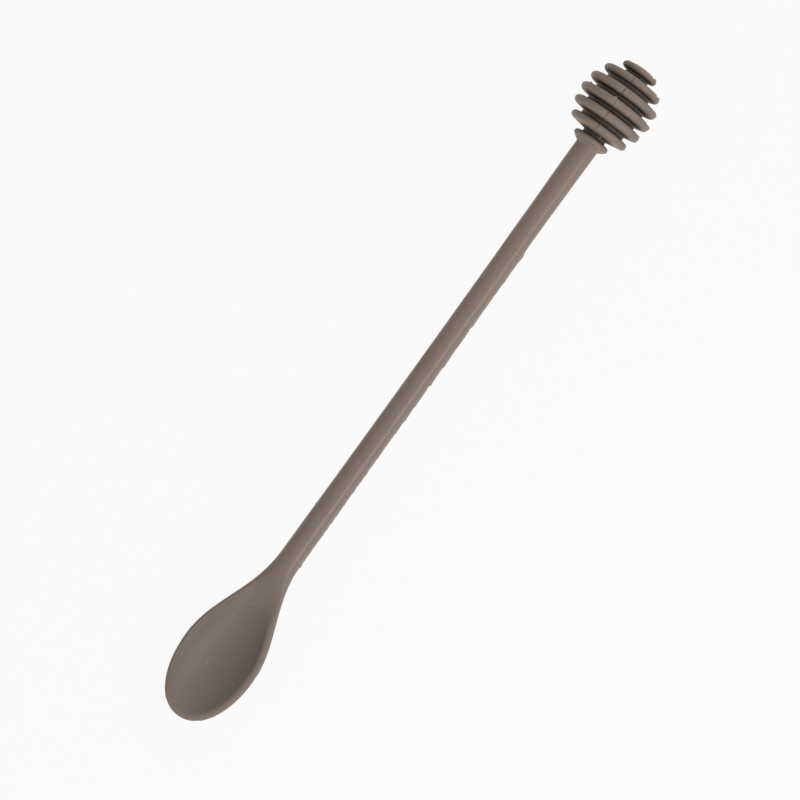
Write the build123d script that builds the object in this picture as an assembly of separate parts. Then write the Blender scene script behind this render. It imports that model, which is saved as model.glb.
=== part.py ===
from build123d import *
from math import cos, hypot, pi, radians, sin, tan
import os

# A silicone honey dipper with a small spoon at its other end, moulded over a steel core.
# Millimetres. The handle lies along X with the dipper head towards +X, and +Z is up, the
# way the spoon opens. The origin is under the middle, at the height of the lowest point.
# The silicone is modelled as three solids that meet face to face: head, handle and spoon.

# Overall size
overall_length = 250.0

# Dipper head: rings and the grooves between them, counted from the handle outwards
head_radius = 12.7
ring_pitch = 4.43
ring_step_shares = (0.955, 1.0, 1.0, 1.0, 1.0, 0.93)
ring_radius_shares = (0.49, 0.81, 0.955, 1.0, 0.96, 0.805, 0.485)
ring_nose_shares = (0.215, 0.255, 0.28, 0.28, 0.275, 0.255, 0.225)
groove_radius_shares = (0.323, 0.614, 0.693, 0.693, 0.614, 0.323)
ring_flank_taper = radians(10)
groove_floor_fillet = 0.3
groove_fillet_share = 0.45
collar_flare_angle = radians(55)
collar_foot_fillet = 0.5
collar_foot_land = 0.5
end_dome_height = 2.2

# Handle: round and slightly waisted
handle_head_radius = 3.83
handle_waist_radius = 3.63
neck_radius = 3.8
neck_taper_length = 39.0
head_taper_length = 30.0

# Spoon: an egg-shaped bowl that runs back into the round neck. A reach is a distance
# from the spoon's tip towards the head.
spoon_length = 63.0
bowl_half_width = 13.05
widest_reach = 22.5
bowl_depth = 7.4
deepest_reach = 24.0
lip_width = 2.2
lip_height = 1.1
lip_fillet_share = 0.45
floor_thickness = 2.1
hollow_lift = 0.8
hollow_end_reach = 50.5
scarf_start_reach = 38.0
scarf_end_reach = 68.0
scarf_rise = 5.1
plan_front_power = 2.15
plan_rear_power = 1.2
keel_front_power = 2.2
hollow_end_power = 5
hollow_ramp_power = 0.75
front_station_angles = (8, 16, 26, 38, 52, 70, 90)
hull_station_shares = (0.15, 0.3, 0.45, 0.6, 0.75, 0.88, 1.0)
hollow_station_shares = (0.12, 0.25, 0.4, 0.55, 0.7, 0.82, 0.91, 0.97)
scarf_station_shares = (0.0, 0.25, 0.5, 0.75, 1.0)
rim_probe_shares = (0.1, 0.3, 0.7, 0.9)

# Steel core rod, moulded into the handle
rod_radius = 2.0
rod_depth_in_head = 22.0
rod_depth_in_spoon = 12.0
rod_end_chamfer = 0.4
key_groove_depth = 0.35
key_groove_width = 1.2
key_groove_count = 3
key_groove_pitch = 4.0
key_groove_end_land = 2.0

# Steel strip that stiffens the bowl's floor, with its tang in a slot in the rod's end
stiffener_thickness = 0.6
stiffener_half_width = 3.5
stiffener_tip_reach = 9.0
stiffener_ramp_power = 0.8
stiffener_corner_radius = 1.2
stiffener_tip_flat = 0.1
stiffener_front_shares = (0.0, 0.33, 0.66)
stiffener_ramp_shares = (0.0, 0.2, 0.4, 0.6, 0.8, 1.0)
tang_depth_in_rod = 8.0
tang_free_length = 10.0
tang_level_length = 1.0
tang_edge_inset = 0.06
tang_end_gap = 0.3
tang_fit = 0.03
key_hole_radius = 1.1
key_hole_count = 4
key_hole_pitch = 6.5
key_hole_tip_land = 5.0

# Silicone lies on the steel with this small gap all round
bond_clearance = 0.02

# One overrun for all cuts
overrun = 2.0

# Places along the part, worked out from the sizes above
spoon_tip_x = -overall_length / 2
neck_x = spoon_tip_x + spoon_length
end_ring_x = overall_length / 2 - end_dome_height
collar_x = end_ring_x - sum(ring_step_shares) * ring_pitch
nose_radii = [ring_pitch * share for share in ring_nose_shares]
collar_nose_height = head_radius * ring_radius_shares[0] - nose_radii[0]
flare_top_x = collar_x - nose_radii[0] * sin(collar_flare_angle)
flare_top_radius = collar_nose_height + nose_radii[0] * cos(collar_flare_angle)
flare_foot_x = flare_top_x - (flare_top_radius - handle_head_radius) / tan(collar_flare_angle)
head_joint_x = flare_foot_x - collar_foot_land
axis_height = head_radius * max(ring_radius_shares)
rod_end_reach = spoon_length - rod_depth_in_spoon
stiffener_shoulder_reach = rod_end_reach - tang_free_length
stiffener_level_reach = rod_end_reach - tang_level_length


def cosine_fall(start, end, share, power=1.0):
    """A smooth fall from start to end while share goes from 0 to 1."""
    fall = ((1 + cos(pi * share)) / 2) ** power
    return end + (start - end) * fall


def rounded_rise(size, share, power):
    """A quarter of a superellipse: 0 at share 0, the full size and level at share 1."""
    return size * (1 - (1 - share) ** power) ** (1 / power)


def ring_nose(index):
    """The centre of a ring's rounded nose, as its place along the part and its radius."""
    nose_x = collar_x + sum(ring_step_shares[:index]) * ring_pitch
    return nose_x, head_radius * ring_radius_shares[index] - nose_radii[index]


def flank_top(index, side):
    """Where a ring's nose meets its tapered flank. Side is -1 towards the handle, else 1."""
    nose_x, nose_height = ring_nose(index)
    along = side * nose_radii[index] * cos(ring_flank_taper)
    return nose_x + along, nose_height + nose_radii[index] * sin(ring_flank_taper)


def flank_foot(index, side, foot_radius):
    """Where a ring's tapered flank reaches a groove's floor."""
    top_x, top_radius = flank_top(index, side)
    return top_x + side * (top_radius - foot_radius) * tan(ring_flank_taper), foot_radius


def nose_arc(index, start, end):
    """The round nose of one ring, between two points of its outline."""
    nose_x, nose_height = ring_nose(index)
    return ThreePointArc(start, (nose_x, nose_height + nose_radii[index]), end)


def groove_line(index):
    """Down one ring's flank, along the groove's floor and up the next ring's flank."""
    floor_radius = head_radius * groove_radius_shares[index]
    near_foot = flank_foot(index, 1, floor_radius)
    far_foot = flank_foot(index + 1, -1, floor_radius)
    points = [flank_top(index, 1), near_foot, far_foot, flank_top(index + 1, -1)]
    floor_width = far_foot[0] - near_foot[0]
    widest_fillet = floor_width * groove_fillet_share / tan((radians(90) - ring_flank_taper) / 2)
    return FilletPolyline(*points, radius=min(groove_floor_fillet, widest_fillet))


def make_dipper_head():
    """Seven rings with six grooves between them, turned about the handle's axis."""
    last = len(ring_radius_shares) - 1
    nose_x, nose_height = ring_nose(last)
    rise = end_dome_height - nose_radii[last]
    dome_radius = (nose_height**2 + end_dome_height**2 - nose_radii[last] ** 2) / (2 * rise)
    dome_x = nose_x + end_dome_height - dome_radius
    reach = hypot(nose_x - dome_x, nose_height)
    dome_top = (
        dome_x + dome_radius * (nose_x - dome_x) / reach,
        dome_radius * nose_height / reach,
    )
    apex = (dome_x + dome_radius, 0)

    foot = (head_joint_x, handle_head_radius)
    flare_top = (flare_top_x, flare_top_radius)
    flare_points = (foot, (flare_foot_x, handle_head_radius), flare_top)
    outline = [FilletPolyline(*flare_points, radius=collar_foot_fillet)]
    outline.append(nose_arc(0, flare_top, flank_top(0, 1)))
    for index in range(last):
        outline.append(groove_line(index))
        if index + 1 < last:
            outline.append(nose_arc(index + 1, flank_top(index + 1, -1), flank_top(index + 1, 1)))
    outline.append(nose_arc(last, flank_top(last, -1), dome_top))
    outline.append(RadiusArc(dome_top, apex, dome_radius))
    outline.append(Polyline(apex, (head_joint_x, 0), foot))
    return revolve(make_face(outline), Axis.X) - make_core_rod(bond_clearance)


def make_handle_sleeve():
    """The round silicone handle, thinnest along its waist, with the rod's bore through it."""
    waist_start = (neck_x + neck_taper_length, handle_waist_radius)
    waist_end = (head_joint_x - head_taper_length, handle_waist_radius)
    neck = (neck_x, neck_radius)
    foot = (head_joint_x, handle_head_radius)
    level = ((1, 0), (1, 0))
    outline = [
        Spline(neck, waist_start, tangents=level),
        Line(waist_start, waist_end),
        Spline(waist_end, foot, tangents=level),
        Polyline(foot, (head_joint_x, 0), (neck_x, 0), neck),
    ]
    bore_length = head_joint_x - neck_x + 2 * overrun
    bore = Cylinder(rod_radius + bond_clearance, bore_length, rotation=(0, 90, 0))
    middle = Pos((head_joint_x + neck_x) / 2, 0, 0)
    return revolve(make_face(outline), Axis.X) - middle * bore


def plan_half_width(reach):
    """Half the spoon's width."""
    if reach < widest_reach:
        return rounded_rise(bowl_half_width, reach / widest_reach, plan_front_power)
    share = (reach - widest_reach) / (spoon_length - widest_reach)
    return cosine_fall(bowl_half_width, neck_radius, share, plan_rear_power)


def keel_depth(reach):
    """How far the spoon's underside lies under the handle's axis."""
    if reach < deepest_reach:
        return rounded_rise(bowl_depth, reach / deepest_reach, keel_front_power)
    share = (reach - deepest_reach) / (spoon_length - deepest_reach)
    return cosine_fall(bowl_depth, neck_radius, share)


def section_drop(reach):
    """How far a section's middle lies under the axis, so that the neck's top stays straight."""
    if reach < scarf_start_reach:
        return 0.0
    share = (reach - scarf_start_reach) / (spoon_length - scarf_start_reach)
    return cosine_fall(0, (keel_depth(reach) - neck_radius) / 2, share)


def scarf_height(reach):
    """The height of the spoon's top: level at the lip, then rising to clear the neck."""
    if reach < scarf_start_reach:
        return lip_height
    share = (reach - scarf_start_reach) / (scarf_end_reach - scarf_start_reach)
    return cosine_fall(lip_height, lip_height + scarf_rise, share)


def hollow_half_width(reach):
    """Half the hollow's width at its widest level: the spoon less its lip, rounded off behind."""
    if reach < widest_reach:
        share = (reach - lip_width) / (widest_reach - lip_width)
        return rounded_rise(bowl_half_width - lip_width, share, plan_front_power)
    share = (reach - widest_reach) / (hollow_end_reach - widest_reach)
    return (plan_half_width(reach) - lip_width) * (1 - share**hollow_end_power) ** 0.5


def hollow_depth(reach):
    """The hollow's depth under its widest level, which lies the lift over the top."""
    full = bowl_depth - floor_thickness + lip_height + hollow_lift
    if reach < deepest_reach:
        share = (reach - lip_width) / (deepest_reach - lip_width)
        return rounded_rise(full, share, keel_front_power)
    share = (reach - deepest_reach) / (hollow_end_reach - deepest_reach)
    return cosine_fall(full, 0, share, hollow_ramp_power)


def lens_section(reach, level, half_width, depth):
    """An upright ellipse across the spoon."""
    return Plane.YZ.offset(spoon_tip_x + reach) * Pos(0, level) * Ellipse(half_width, depth)


def front_stations(start_reach):
    """Reaches from the start to the widest place, closest together where the end rounds off."""
    length = widest_reach - start_reach
    return [start_reach + length * (1 - cos(radians(angle))) for angle in front_station_angles]


def make_spoon_hull():
    """The solid egg and neck, cut level along the lip, with a scarf up to the round neck."""
    rear_length = spoon_length - widest_reach
    rear = [widest_reach + share * rear_length for share in hull_station_shares]
    reaches = front_stations(0) + rear
    sections = []
    for reach in reaches:
        drop = section_drop(reach)
        sections.append(lens_section(reach, -drop, plan_half_width(reach), keel_depth(reach) - drop))
    egg = loft([Vertex(spoon_tip_x, 0, 0)] + sections)

    scarf_length = scarf_end_reach - scarf_start_reach
    scarf_reaches = [scarf_start_reach + share * scarf_length for share in scarf_station_shares]
    scarf_points = [(spoon_tip_x + reach, scarf_height(reach)) for reach in scarf_reaches]
    front_x = spoon_tip_x - overrun
    back_x = spoon_tip_x + scarf_end_reach
    over_z = bowl_depth + overrun
    outline = [
        Line((front_x, lip_height), scarf_points[0]),
        Spline(*scarf_points, tangents=((1, 0), (1, 0))),
        Polyline(scarf_points[-1], (back_x, over_z), (front_x, over_z), (front_x, lip_height)),
    ]
    trim = extrude(Plane.XZ * make_face(outline), bowl_half_width + overrun, both=True)
    return egg - trim


def make_spoon_hollow():
    """The egg-shaped hollow, widest a little over the lip, that fades out up the scarf."""
    length = hollow_end_reach - widest_reach
    rear = [widest_reach + share * length for share in hollow_station_shares]
    sections = []
    for reach in front_stations(lip_width) + rear:
        level = scarf_height(reach) + hollow_lift
        sections.append(lens_section(reach, level, hollow_half_width(reach), hollow_depth(reach)))
    tip = Vertex(spoon_tip_x + lip_width, 0, lip_height + hollow_lift)
    end = Vertex(spoon_tip_x + hollow_end_reach, 0, scarf_height(hollow_end_reach) + hollow_lift)
    return loft([tip] + sections + [end])


def is_rim_edge(edge):
    """Whether an edge of the spoon runs along the rim of its top."""
    points = [edge.position_at(share) for share in rim_probe_shares]
    on_top = all(abs(p.Z - scarf_height(p.X - spoon_tip_x)) < bond_clearance for p in points)
    along_middle = all(abs(p.Y) < bond_clearance for p in points)
    return on_top and not along_middle and edge.geom_type != GeomType.LINE


def make_spoon_bowl():
    """The spoon: hull less hollow, its lip rounded on both sides, moulded round the core."""
    dish = make_spoon_hull() - make_spoon_hollow()
    rim_edges = [edge for edge in dish.edges() if is_rim_edge(edge)]
    rounded = fillet(rim_edges, lip_width * lip_fillet_share)
    return rounded - make_core_rod(bond_clearance) - make_bowl_stiffener(bond_clearance)


def make_core_rod(growth=0.0):
    """The steel rod, with ring grooves near its head end. Growth makes its mould cavity."""
    head_end_x = head_joint_x + rod_depth_in_head + growth
    spoon_end_x = neck_x - rod_depth_in_spoon - growth
    length = head_end_x - spoon_end_x
    rod = Cylinder(rod_radius + growth, length, rotation=(0, 90, 0))
    rod = chamfer(rod.edges().filter_by(GeomType.CIRCLE), rod_end_chamfer)
    rod = Pos((head_end_x + spoon_end_x) / 2, 0, 0) * rod
    floor_radius = rod_radius - key_groove_depth + growth
    ring_width = key_groove_width - 2 * growth
    ring = Cylinder(rod_radius + overrun, ring_width) - Cylinder(floor_radius, ring_width)
    last_groove_x = head_joint_x + rod_depth_in_head - key_groove_end_land
    for index in range(key_groove_count):
        rod -= Pos(last_groove_x - index * key_groove_pitch, 0, 0) * Rot(0, 90, 0) * ring
    return rod


def make_slotted_rod():
    """The finished rod: its spoon end has the slot that the stiffener's tang sits in."""
    slot_length = tang_depth_in_rod + tang_end_gap + overrun
    slot = Box(slot_length, 2 * (rod_radius + overrun), stiffener_thickness + 2 * tang_fit)
    slot_x = neck_x - rod_depth_in_spoon - overrun + slot_length / 2
    return make_core_rod() - Pos(slot_x, 0, 0) * slot


def stiffener_level(reach):
    """The height of the stiffener's middle: midway in the bowl's floor, rising to the axis."""
    if reach < deepest_reach:
        hollow_floor = lip_height + hollow_lift - hollow_depth(reach)
        return (hollow_floor - keel_depth(reach)) / 2
    share = (reach - deepest_reach) / (stiffener_level_reach - deepest_reach)
    return cosine_fall(floor_thickness / 2 - bowl_depth, 0, share, stiffener_ramp_power)


def stiffener_side_face(growth):
    """The stiffener seen from the side: a thin band along the floor, then level as the tang."""
    half = stiffener_thickness / 2 + growth
    front_reach = stiffener_tip_reach / 2
    front_length = deepest_reach - front_reach
    ramp_length = stiffener_level_reach - deepest_reach
    reaches = [front_reach + share * front_length for share in stiffener_front_shares]
    reaches += [deepest_reach + share * ramp_length for share in stiffener_ramp_shares]
    points = [(spoon_tip_x + reach, stiffener_level(reach)) for reach in reaches]
    tang_end_x = neck_x - rod_depth_in_spoon + tang_depth_in_rod + growth
    middle = [Spline(*points), Line(points[-1], (tang_end_x, 0))]
    upper = [Pos(0, half) * line for line in middle]
    lower = [Pos(0, -half) * line for line in middle]
    ends = [Line(upper[0] @ 0, lower[0] @ 0), Line(upper[1] @ 1, lower[1] @ 1)]
    return Plane.XZ * make_face(upper + lower + ends)


def make_bowl_stiffener(growth=0.0):
    """The stiffener: a bent steel strip with a round tip, key holes and a narrow tang."""
    tip_x = spoon_tip_x + stiffener_tip_reach - growth
    shoulder_x = spoon_tip_x + stiffener_shoulder_reach + growth
    tang_end_x = neck_x - rod_depth_in_spoon + tang_depth_in_rod + growth
    half_width = stiffener_half_width + growth
    tang_half_width = rod_radius - tang_edge_inset + growth
    tip_radius = stiffener_half_width - stiffener_tip_flat
    blade = Pos((tip_x + shoulder_x) / 2, 0) * Rectangle(shoulder_x - tip_x, 2 * half_width)
    blade = fillet(blade.vertices().group_by(Axis.X)[0], tip_radius)
    blade = fillet(blade.vertices().group_by(Axis.X)[-1], stiffener_corner_radius)
    tang_start_x = shoulder_x - stiffener_corner_radius
    tang_length = tang_end_x - tang_start_x
    tang = Pos(tang_start_x + tang_length / 2, 0) * Rectangle(tang_length, 2 * tang_half_width)
    outline = blade + tang
    first_hole_x = spoon_tip_x + stiffener_tip_reach + key_hole_tip_land
    for index in range(key_hole_count):
        outline -= Pos(first_hole_x + index * key_hole_pitch, 0) * Circle(key_hole_radius - growth)
    prism = extrude(outline, bowl_depth + overrun, both=True)
    band = extrude(stiffener_side_face(growth), stiffener_half_width + overrun, both=True)
    return band & prism


def export_piece(name, shape):
    """Writes one piece, lifted so that the part's lowest point is at height zero."""
    solid = Pos(0, 0, axis_height) * shape
    solid.label = name
    export_step(solid, f"parts/{name}.step")
    print(name, len(solid.solids()), "solid", round(solid.volume), "cubic mm")


os.makedirs("parts", exist_ok=True)
export_piece("dipper_head", make_dipper_head())
export_piece("handle_sleeve", make_handle_sleeve())
export_piece("spoon_bowl", make_spoon_bowl())
export_piece("core_rod", make_slotted_rod())
export_piece("bowl_stiffener", make_bowl_stiffener())
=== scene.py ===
"""The honey dipper in satin silicone: its one moulding, its steel core and the studio round it.

Lengths are in millimetres along the row's axes until they reach a mesh: X runs along the handle
to the dipper head, Z is up, the way the spoon opens, and heights are counted from the handle's axis.
"""

import logging
from dataclasses import dataclass
from enum import Enum
from math import cos, pi, radians, sin, tan
from typing import Any, Callable, Optional

import bpy
import numpy as np
from mathutils import Matrix, Vector


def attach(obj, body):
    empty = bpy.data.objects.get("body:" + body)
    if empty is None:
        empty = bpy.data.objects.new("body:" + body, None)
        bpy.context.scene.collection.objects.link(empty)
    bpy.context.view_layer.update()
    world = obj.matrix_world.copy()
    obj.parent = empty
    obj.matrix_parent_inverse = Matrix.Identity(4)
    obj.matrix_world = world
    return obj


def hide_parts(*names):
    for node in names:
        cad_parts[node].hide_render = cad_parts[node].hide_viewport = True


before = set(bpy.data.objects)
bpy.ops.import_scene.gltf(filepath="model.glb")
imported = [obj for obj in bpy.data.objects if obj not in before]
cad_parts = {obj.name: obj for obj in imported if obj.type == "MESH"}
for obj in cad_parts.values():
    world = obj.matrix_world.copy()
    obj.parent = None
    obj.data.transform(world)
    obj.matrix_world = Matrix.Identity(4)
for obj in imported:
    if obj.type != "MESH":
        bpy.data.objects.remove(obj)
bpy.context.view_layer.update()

MM = 0.001
AXIS_HEIGHT = 12.7
HALF_LENGTH = 125.0
WHITE = (1.0, 1.0, 1.0, 1.0)

# The layers of the mesh that the silicone's material reads: the tone, which carries the marks and the
# painted shade and light, the hollow's painted shade, and the grain, which sets the roughness.
TONE, HOLLOW_PAINTED_SHADE, GRAIN = "tone", "hollow_painted_shade", "grain"
# The places of the colours among the mix node's inputs, and of its result.
MIX_A, MIX_B, MIX_RESULT = 6, 7, 2
# Lengths in millimetres that keep divisions away from 0, a distance that no face is near to,
# and the longest step that a point takes towards a surface.
MIN_REACH, SLIVER = 1e-4, 1e-3
FAR_BELOW = -1e3
LONGEST_STEP = 0.2
# How many widths of a blur are worked out on either side of a point.
BLUR_WIDTHS = 3

log = logging.getLogger("honey_dipper")

Array = np.ndarray
Pair = tuple[float, float]
Point = tuple[float, float, float]
Series = tuple[float, ...]
Socket = bpy.types.NodeSocket
Tree = bpy.types.NodeTree


def linear(hex_colour: str) -> tuple[float, float, float, float]:
    """Turns an sRGB colour such as "#80736a" into the linear colour that a shader takes.

    Args:
        hex_colour: The colour as # and six hexadecimal digits.

    Returns:
        Red, green, blue and an alpha of 1.
    """
    channels = [int(hex_colour[i : i + 2], 16) / 255 for i in (1, 3, 5)]
    bright = [((c + 0.055) / 1.055) ** 2.4 if c > 0.04045 else c / 12.92 for c in channels]
    return (bright[0], bright[1], bright[2], 1.0)


def add_node(tree: Tree, kind: str, inputs: Optional[dict] = None, **settings: Any) -> bpy.types.Node:
    """Adds one node, sets its properties, and sets or links its inputs.

    Args:
        tree: The node tree that gets the node.
        kind: Blender's name for the node's type, without the "ShaderNode" in front.
        inputs: A value or an output socket for each input, by name or place.
        **settings: The node's own properties.

    Returns:
        The new node.
    """
    node = tree.nodes.new(f"ShaderNode{kind}")
    for name, value in settings.items():
        setattr(node, name, value)
    for name, value in (inputs or {}).items():
        if isinstance(value, bpy.types.NodeSocket):
            tree.links.new(value, node.inputs[name])
        else:
            node.inputs[name].default_value = value
    return node


def calculate(tree: Tree, operation: str, *values: Any, clamp: bool = False) -> Socket:
    """One step of arithmetic on numbers and sockets."""
    inputs = dict(enumerate(values))
    return add_node(tree, "Math", inputs, operation=operation, use_clamp=clamp).outputs[0]


def mix_colours(tree: Tree, share: Socket, first: Any, second: Any) -> Socket:
    """The colour between two others, where share says how much of the second it has."""
    inputs = {0: share, MIX_A: first, MIX_B: second}
    return add_node(tree, "Mix", inputs, data_type="RGBA").outputs[MIX_RESULT]


def noise(tree: Tree, place: Socket, size: float, detail: float) -> Socket:
    """Soft noise whose patches are about a size in millimetres."""
    inputs = {"Vector": place, "Scale": 1 / (size * MM), "Detail": detail}
    return add_node(tree, "TexNoise", inputs).outputs["Fac"]


def bumped(tree: Tree, height: Socket, depth: float) -> Socket:
    """A normal bumped by a height, whose full depth is in millimetres."""
    inputs = {"Height": height, "Distance": depth * MM, "Strength": 1.0}
    return add_node(tree, "Bump", inputs).outputs[0]


def read_layer(tree: Tree, name: str) -> Socket:
    """What one of the mesh's layers says at each point."""
    return add_node(tree, "Attribute", attribute_name=name).outputs["Fac"]


def new_material(name: str) -> bpy.types.Material:
    """A material whose nodes are still to be added."""
    material = bpy.data.materials.new(name)
    material.use_nodes = True
    material.node_tree.nodes.clear()
    return material


def put_in_scene(name: str, data: bpy.types.ID) -> bpy.types.Object:
    """Makes an object and links it to the scene."""
    item = bpy.data.objects.new(name, data)
    bpy.context.scene.collection.objects.link(item)
    return item


def share_of(value: Array, start: float, end: float) -> Array:
    """How far a value has come from start, where the share is 0, to end, where it is 1."""
    return (value - start) / (end - start)


def ramp(value: Array, start: float, end: float) -> Array:
    """A smooth rise from 0 at start to 1 at end."""
    share = np.clip(share_of(value, start, end), 0.0, 1.0)
    return share * share * (3.0 - 2.0 * share)


def bell(offset: Array, width: float) -> Array:
    """A smooth bump of height 1 that falls off over a width either side of offset 0."""
    return np.exp(-((offset / width) ** 2))


def cosine_fall(start: float, end: float, share: Array, power: float = 1.0) -> Array:
    """A smooth fall from start to end while share goes from 0 to 1."""
    return end + (start - end) * ((1 + np.cos(pi * np.clip(share, 0.0, 1.0))) / 2) ** power


def rounded_rise(size: float, share: Array, power: float) -> Array:
    """A quarter of a superellipse: 0 at share 0, the full size and level at share 1."""
    inside = np.clip(share, 0.0, 1.0)
    return size * (1 - (1 - inside) ** power) ** (1 / power)


def around_axis(x: float, radius: float, angles: Array) -> Array:
    """Points round the axis at one place along it, where angle 0 is the underside."""
    return np.column_stack([np.full(len(angles), x), radius * np.sin(angles), -radius * np.cos(angles)])


def spread_evenly(points: Array, count: int, weights: Optional[Array] = None) -> Array:
    """Places points anew along a line, evenly by weighted length.

    Args:
        points: The line's own points, one a row, as many columns as it has dimensions.
        count: How many points to return, both ends included.
        weights: How densely each stretch of the line is filled, one value a point.

    Returns:
        The new points.
    """
    lengths = np.linalg.norm(np.diff(points, axis=0), axis=1)
    if weights is not None:
        lengths = lengths * (weights[1:] + weights[:-1]) / 2
    along = np.concatenate([[0.0], np.cumsum(lengths)])
    wanted = np.linspace(0.0, along[-1], count)
    return np.stack([np.interp(wanted, along, column) for column in points.T], axis=1)


@dataclass(frozen=True)
class Columns:
    """How the moulding's mesh is divided round its section, from the underside up to the top."""

    under: int = 24
    over: int = 58
    seam_columns: int = 12
    seam_spacing: float = 0.14

    def neck_angles(self) -> Array:
        """Angles from the underside to the top where the spoon's rows meet the handle's."""
        below = np.linspace(0.0, pi / 2, self.under + 1)
        above = np.linspace(pi / 2, pi, self.over + 1)
        return np.concatenate([below, above[1:]])

    def head_angles(self, radius: float) -> Array:
        """Angles from the underside to the top, closest together round the seam on the top.

        Args:
            radius: The radius that the angles are for, in millimetres.

        Returns:
            One angle a column of half a section.
        """
        steps = np.arange(self.over + 1)
        near = self.seam_spacing * steps
        past = np.clip(steps - self.seam_columns, 0, None)
        quarter = radius * pi / 2
        arc = near * min(1.0, quarter / near[-1])
        arc = arc + (quarter - arc[-1]) * past / past[-1]
        below = np.linspace(0.0, pi / 2, self.under + 1)
        return np.concatenate([below, (pi - arc / radius)[::-1][1:]])


@dataclass(frozen=True)
class SpoonBowl:
    """The egg-shaped spoon, with its solid's sizes but a thicker floor.

    A reach is counted from the spoon's tip. The photograph's shading shows a shallower hollow than
    the solid's, whose thin floor leaves room for the steel strip.
    """

    columns: Columns
    length: float = 63.0
    half_width: float = 13.05
    widest_reach: float = 22.5
    depth: float = 7.4
    deepest_reach: float = 24.0
    lip_width: float = 2.2
    lip_height: float = 1.1
    lip_radius: float = 1.08
    floor_thickness: float = 3.4
    hollow_lift_share: float = 0.8
    hollow_power: float = 2.2
    hollow_end_reach: float = 50.5
    hollow_shade_depth: float = 0.9
    scarf_start_reach: float = 38.0
    scarf_end_reach: float = 68.0
    scarf_rise: float = 5.1
    neck_radius: float = 3.8
    front_power: float = 2.15
    rear_power: float = 1.2
    keel_power: float = 2.2
    hollow_end_power: float = 5
    hollow_ramp_power: float = 0.75
    hollow_least_depth: float = 0.01
    hollow_front_land: float = 0.01
    hollow_end_land: float = 1.0
    hollow_edge_land: float = 1.5
    shade_overrun: float = 2.0
    shade_start_reach: float = 0.05
    easing_rounds: int = 300
    easing_rise: Pair = (38.0, 46.0)
    easing_fall: Pair = (56.0, 62.0)
    easing_edge: Pair = (0.6, 0.96)
    surface_steps: int = 12
    rows: int = 140
    fan_reach: float = 12.0
    fan_end_reach: float = 36.0
    lip_density: float = 0.9
    lip_density_width: float = 3.08
    outline_samples: int = 400
    row_samples: int = 300

    def plan_half_width(self, reach: Array) -> Array:
        """Half the spoon's width."""
        front = rounded_rise(self.half_width, reach / self.widest_reach, self.front_power)
        share = share_of(reach, self.widest_reach, self.length)
        rear = cosine_fall(self.half_width, self.neck_radius, share, self.rear_power)
        return np.where(reach < self.widest_reach, front, rear)

    def keel_depth(self, reach: Array) -> Array:
        """How far the underside lies under the axis."""
        front = rounded_rise(self.depth, reach / self.deepest_reach, self.keel_power)
        share = share_of(reach, self.deepest_reach, self.length)
        rear = cosine_fall(self.depth, self.neck_radius, share)
        return np.where(reach < self.deepest_reach, front, rear)

    def section_drop(self, reach: Array) -> Array:
        """How far a section's middle lies under the axis."""
        share = share_of(reach, self.scarf_start_reach, self.length)
        half_gap = (self.keel_depth(reach) - self.neck_radius) / 2
        return half_gap * (1 - cosine_fall(1.0, 0.0, share))

    def top_height(self, reach: Array) -> Array:
        """The level lip and the scarf that rises from it to clear the neck."""
        share = share_of(reach, self.scarf_start_reach, self.scarf_end_reach)
        return cosine_fall(self.lip_height, self.lip_height + self.scarf_rise, share)

    def hollow_half_width(self, reach: Array) -> Array:
        """Half the width of the hollow's elliptic section, whose widest level lies over the lip."""
        share = share_of(reach, self.lip_width, self.widest_reach)
        front = rounded_rise(self.half_width - self.lip_width, share, self.front_power)
        share = share_of(reach, self.widest_reach, self.hollow_end_reach)
        closing = np.sqrt(1 - np.clip(share, 0, 1) ** self.hollow_end_power)
        rear = (self.plan_half_width(reach) - self.lip_width) * closing
        return np.where(reach < self.widest_reach, front, rear) / (1 - self.hollow_lift_share**2) ** 0.5

    def hollow_depth(self, reach: Array) -> Array:
        """The depth of the hollow's section, of which the lift's share lies over the lip."""
        lift, power = self.hollow_lift_share, self.hollow_power
        full = self.depth - self.floor_thickness + self.lip_height
        start = 1 - (1 - lift**power) ** (1 / power)
        share = share_of(reach, self.lip_width, self.deepest_reach)
        front = full * (rounded_rise(1.0, start + (1 - start) * share, power) - lift) / (1 - lift)
        share = share_of(reach, self.deepest_reach, self.hollow_end_reach)
        rear = cosine_fall(full, 0.0, share, self.hollow_ramp_power)
        depth = np.where(reach < self.deepest_reach, front, rear)
        return np.maximum(depth, self.hollow_least_depth) / (1 - lift)

    def hollow_middle(self, reach: Array) -> Array:
        """How high the middle of the hollow's section lies."""
        return self.top_height(reach) + self.hollow_lift_share * self.hollow_depth(reach)

    def hollow_painted_shade(self, points: Array) -> Array:
        """How much of the hollow's painted shade, darker and greyer, the rubber takes, from 0 on the
        outside to 1 in the hollow.

        Args:
            points: Points from the tool's middle and its axis.

        Returns:
            One share a point.
        """
        local = points + np.array([HALF_LENGTH, 0.0, 0.0])
        end_reach = self.hollow_end_reach + self.shade_overrun
        inside = local[..., 0] < end_reach
        local[..., 0] = np.clip(local[..., 0], self.shade_start_reach, end_reach)
        under_skin = -distance_and_normal(self.hull_gap, local)[0]
        share = ramp(under_skin, self.hollow_shade_depth, 2 * self.hollow_shade_depth)
        fade = 1 - ramp(local[..., 0], self.scarf_start_reach, self.hollow_end_reach)
        return np.where(inside, share * fade, 0.0)

    def hull_gap(self, p: Array) -> Array:
        """Grows from below 0 inside the hull to above 0 outside it. Points are reach, across, up."""
        reach = np.maximum(p[..., 0], MIN_REACH)
        wide = self.plan_half_width(reach)
        drop = self.section_drop(reach)
        deep = self.keel_depth(reach) - drop
        up = p[..., 2] + drop
        return p[..., 1] ** 2 * deep / wide + up**2 * wide / deep - wide * deep

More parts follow.
